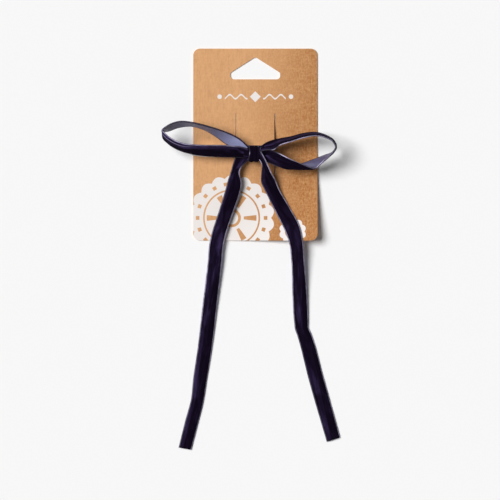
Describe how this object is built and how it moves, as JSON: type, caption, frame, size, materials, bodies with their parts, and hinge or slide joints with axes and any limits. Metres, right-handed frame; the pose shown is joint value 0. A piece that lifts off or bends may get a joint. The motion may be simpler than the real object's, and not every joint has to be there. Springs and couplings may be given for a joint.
{
  "type": "hair bow",
  "caption": "Long-tailed velvet ribbon bow on a sprung alligator hair clip, held on a kraft display card with a hang hole.",
  "frame": {"origin": "centre of the display card on the plane of its flat back face, inside the slot the clip threads through", "axes": "lying flat as displayed: +X to the right of the card, +Y up the card towards the hang hole, +Z out of the printed face"},
  "size_m": [0.0791, 0.1777, 0.0163],
  "materials": {
    "kraft_card": "matte",
    "nickel_steel": "satin",
    "pin_steel": "polished",
    "spring_steel": "satin",
    "lining_grosgrain": "ribbed",
    "hot_melt": "waxy",
    "velvet": "velvet pile"
  },
  "bodies": {
    "card": {"display_card": "kraft_card"},
    "clip_base": {"clip_lower_jaw": "nickel_steel", "clip_hinge_pin": "pin_steel", "clip_torsion_spring": "spring_steel", "left_tail": "velvet", "right_tail": "velvet"},
    "bow_jaw": {"clip_upper_jaw": "nickel_steel", "spring_upper_leg": "spring_steel", "clip_lining": "lining_grosgrain", "glue_pad": "hot_melt", "knot_core": "velvet", "knot_wrap": "velvet", "left_loop": "velvet", "right_loop": "velvet", "left_tail_root": "velvet", "right_tail_root": "velvet"}
  },
  "joints": [
    {"name": "clip_on_card", "type": "slide", "parent": "card", "child": "clip_base", "axis": [-1, 0, 0], "range_m": [0, 0.018]},
    {"name": "jaw_hinge", "type": "hinge", "parent": "clip_base", "child": "bow_jaw", "pos_m": [-0.019, -0.0029, 0.00242], "axis": [0, -1, 0], "range_deg": [0, 20], "stiffness_Nm_per_rad": 0.03, "springref_deg": -34.38}
  ]
}
